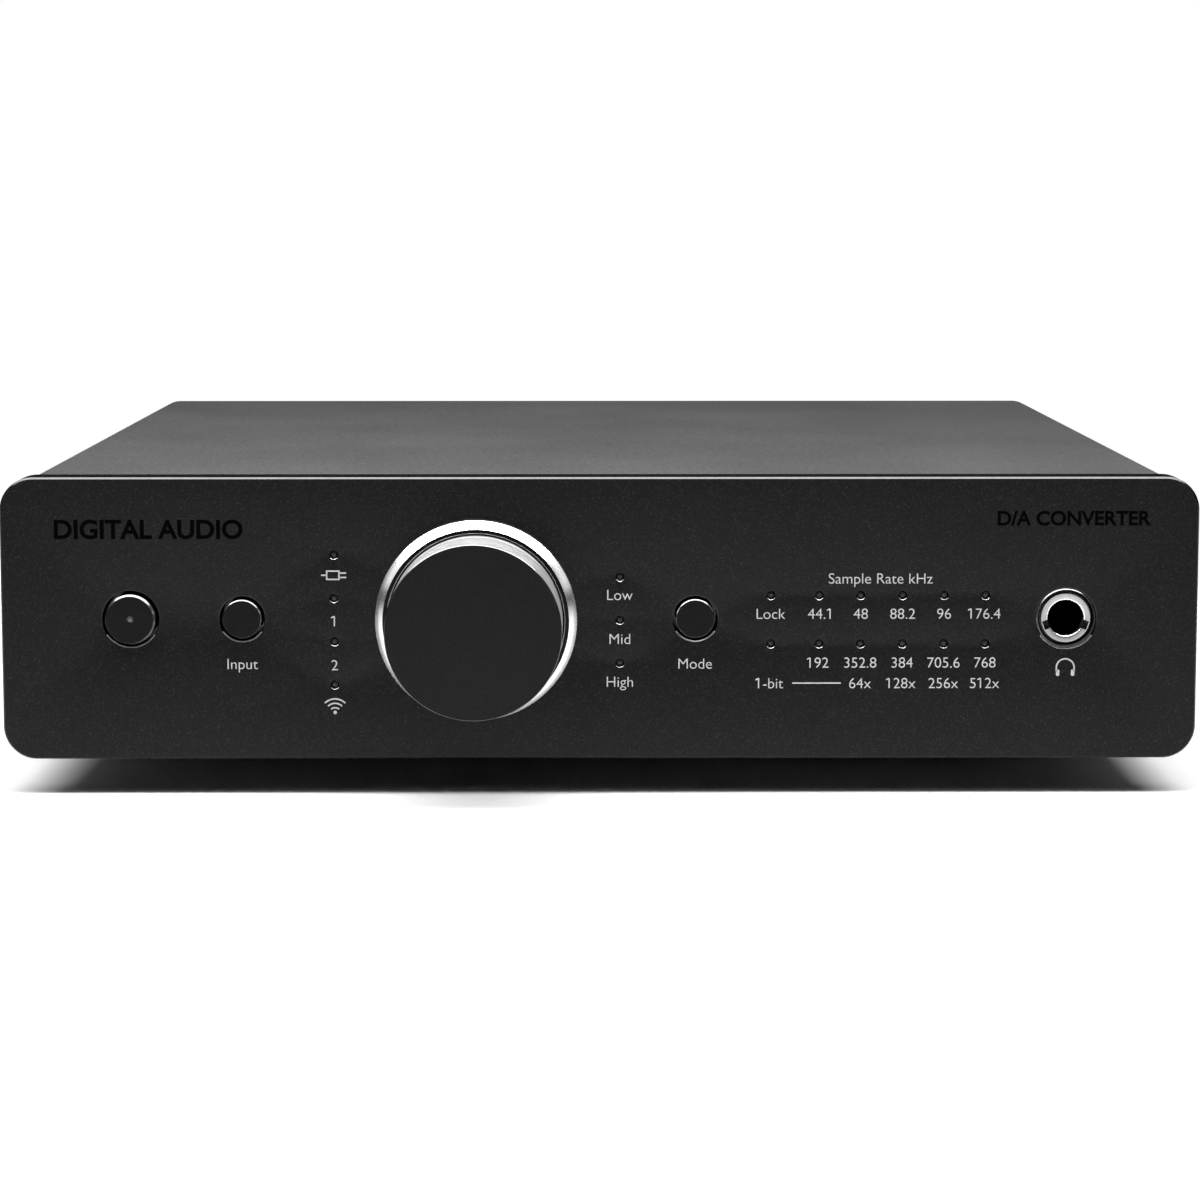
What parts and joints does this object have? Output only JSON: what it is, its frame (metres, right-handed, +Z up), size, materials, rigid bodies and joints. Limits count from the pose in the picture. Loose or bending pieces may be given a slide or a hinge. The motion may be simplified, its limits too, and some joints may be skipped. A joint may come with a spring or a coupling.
{
  "type": "desktop digital-to-analogue converter",
  "caption": "Half-width desktop digital-to-analogue converter and headphone amplifier with a rotary control, push buttons, indicator lights and rear audio sockets.",
  "frame": {"origin": "centre of the bounding box in plan, at the underside of the feet", "axes": "+X to the right seen from the front, the front panel faces -Y, +Z up"},
  "size_m": [0.215, 0.191, 0.0577],
  "materials": {
    "panel_aluminium": "fine bead-blasted dark grey anodised aluminium",
    "sleeve_aluminium": "satin fine-texture dark grey",
    "rear_steel": "satin black painted sheet",
    "zinc_steel": "zinc-plated sheet",
    "foot_rubber": "matte moulded rubber",
    "screw_zinc": "zinc plated",
    "screw_black": "black oxide",
    "nickel_brass": "nickel-plated brass",
    "board_laminate": "glass-epoxy laminate with solder mask",
    "cable_grey": "flat cable jacket",
    "moulded_black": "moulded black plastic",
    "chip_black": "epoxy package",
    "can_metal": "drawn tinned can",
    "capacitor_sleeve": "shrunk sleeve over an aluminium can",
    "capacitor_film": "dipped film capacitor",
    "relay_case": "moulded case",
    "sink_aluminium": "black anodised extrusion",
    "ferrite": "moulded ferrite block",
    "knob_aluminium": "satin dark anodised turned aluminium",
    "ring_chrome": "polished",
    "shaft_steel": "ground",
    "button_aluminium": "satin dark anodised, bright cut edge",
    "light_clear": "translucent moulded light guide, unlit",
    "led_package": "surface-mounted package",
    "collar_black": "black collar",
    "socket_nickel": "nickel plated",
    "gold_plate": "gold plated",
    "phono_plastic": "moulded insulator",
    "shutter_plastic": "moulded shutter",
    "usb_plastic": "moulded tongue"
  },
  "bodies": {
    "chassis": {"front_panel": "panel_aluminium", "case_sleeve": "sleeve_aluminium", "rear_panel": "rear_steel", "chassis_tray": "zinc_steel", "feet": "foot_rubber", "foot_screws": "screw_zinc", "rear_panel_screws": "screw_black", "front_panel_screws": "screw_zinc", "board_standoffs": "nickel_brass", "control_board_pillars": "nickel_brass", "board_screws": "screw_zinc", "main_board": "board_laminate", "control_board": "board_laminate", "ribbon_cable": "cable_grey", "ribbon_headers": "moulded_black", "dac_chips": "chip_black", "usb_receiver_chip": "chip_black", "clock_crystals": "can_metal", "power_capacitors": "capacitor_sleeve", "film_capacitors": "capacitor_film", "muting_relays": "relay_case", "regulators": "chip_black", "heat_sink": "sink_aluminium", "wireless_module": "can_metal", "power_inductors": "ferrite", "knob_ring": "ring_chrome", "encoder_body": "can_metal", "encoder_nut": "screw_zinc", "tact_switches": "moulded_black", "input_light_guide": "light_clear", "filter_light_guide": "light_clear", "rate_light_guide": "light_clear", "indicator_leds": "led_package", "headphone_bush": "ring_chrome", "headphone_collar": "collar_black", "headphone_jack": "moulded_black", "jack_springs": "nickel_brass", "xlr_sockets": "socket_nickel", "xlr_pins": "gold_plate", "xlr_screws": "screw_black", "phono_sockets": "gold_plate", "phono_insulators": "phono_plastic", "optical_socket_1": "moulded_black", "optical_socket_2": "moulded_black", "usb_socket": "socket_nickel", "usb_tongue": "usb_plastic", "dc_inlet": "moulded_black", "dc_pin": "socket_nickel", "antenna_socket": "gold_plate"},
    "volume_knob": {"knob": "knob_aluminium", "encoder_shaft": "shaft_steel"},
    "power_key": {"power_button": "button_aluminium", "power_light_guide": "light_clear", "power_plunger": "moulded_black"},
    "source_key": {"source_button": "button_aluminium", "source_plunger": "moulded_black"},
    "filter_key": {"filter_button": "button_aluminium", "filter_plunger": "moulded_black"},
    "shutter_1": {"optical_shutter_1": "shutter_plastic"},
    "shutter_2": {"optical_shutter_2": "shutter_plastic"}
  },
  "joints": [
    {"name": "volume_turn", "type": "hinge", "parent": "chassis", "child": "volume_knob", "pos_m": [-0.0222, -0.088, 0.03215], "axis": [0, -1, 0], "continuous": true},
    {"name": "power_press", "type": "slide", "parent": "chassis", "child": "power_key", "axis": [0, 1, 0], "range_m": [0, 0.0005], "stiffness_N_per_m": 1200},
    {"name": "source_press", "type": "slide", "parent": "chassis", "child": "source_key", "axis": [0, 1, 0], "range_m": [0, 0.0005], "stiffness_N_per_m": 1200},
    {"name": "filter_press", "type": "slide", "parent": "chassis", "child": "filter_key", "axis": [0, 1, 0], "range_m": [0, 0.0005], "stiffness_N_per_m": 1200},
    {"name": "shutter_1_swing", "type": "hinge", "parent": "chassis", "child": "shutter_1", "pos_m": [-0.002, 0.086, 0.0243], "axis": [-1, 0, 0], "range_deg": [0, 80], "stiffness_Nm_per_rad": 0.0004},
    {"name": "shutter_2_swing", "type": "hinge", "parent": "chassis", "child": "shutter_2", "pos_m": [-0.022, 0.086, 0.0243], "axis": [-1, 0, 0], "range_deg": [0, 80], "stiffness_Nm_per_rad": 0.0004}
  ]
}
